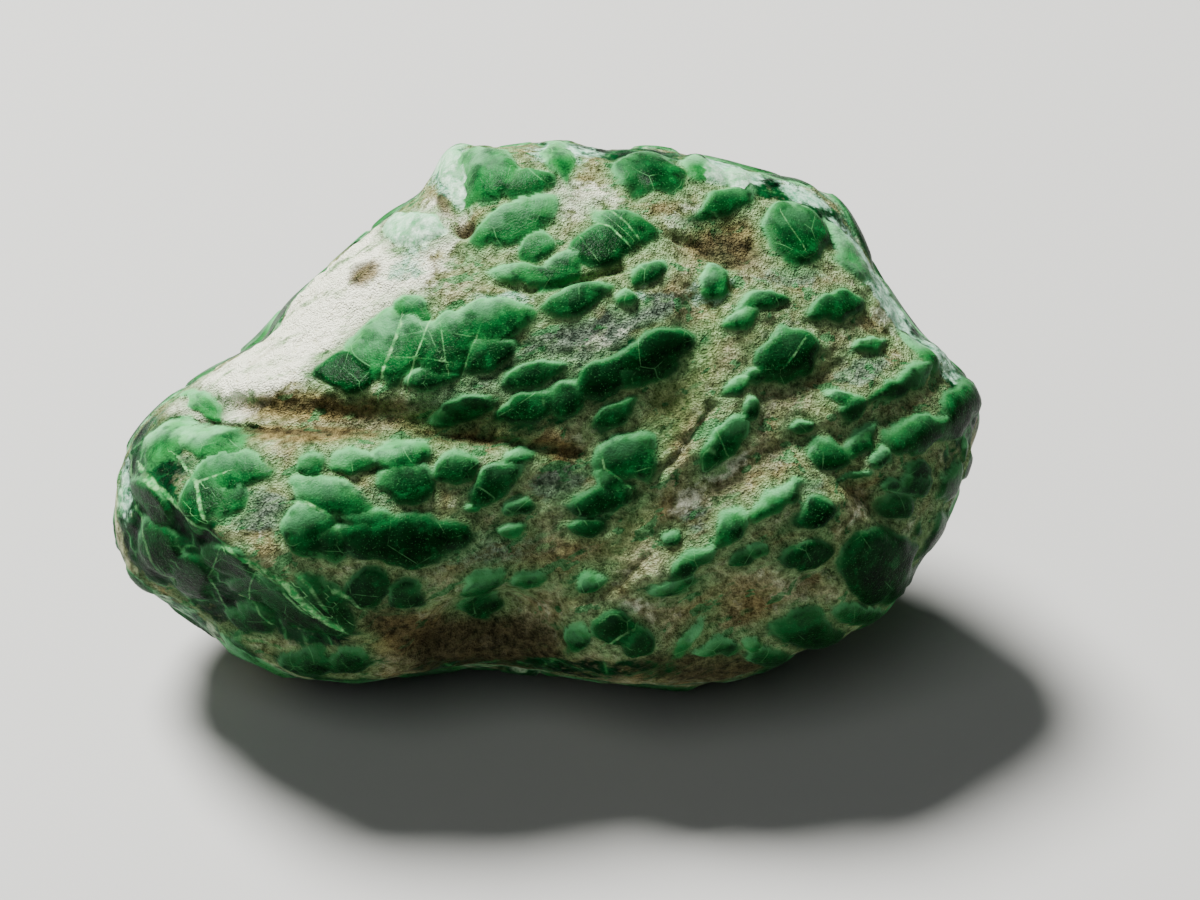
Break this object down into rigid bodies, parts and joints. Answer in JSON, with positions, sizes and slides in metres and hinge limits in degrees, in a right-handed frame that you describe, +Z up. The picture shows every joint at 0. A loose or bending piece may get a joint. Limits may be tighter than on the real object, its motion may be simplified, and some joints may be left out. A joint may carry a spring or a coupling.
{
  "type": "maw sit sit tumbled stone",
  "caption": "Tumbled pebble of worn pale matrix with polished green lumps standing proud, resting on a small flat spot.",
  "frame": {"origin": "bottom centre of the bounding box, on the plane of the flat spot that the stone rests on", "axes": "+X along the longest side, +Z up; the rough broad face leans back and looks towards -Y and up"},
  "size_m": [0.0334, 0.0204, 0.0208],
  "materials": {
    "stone": "satin"
  },
  "bodies": {
    "root": {"stone": "stone"}
  },
  "joints": []
}
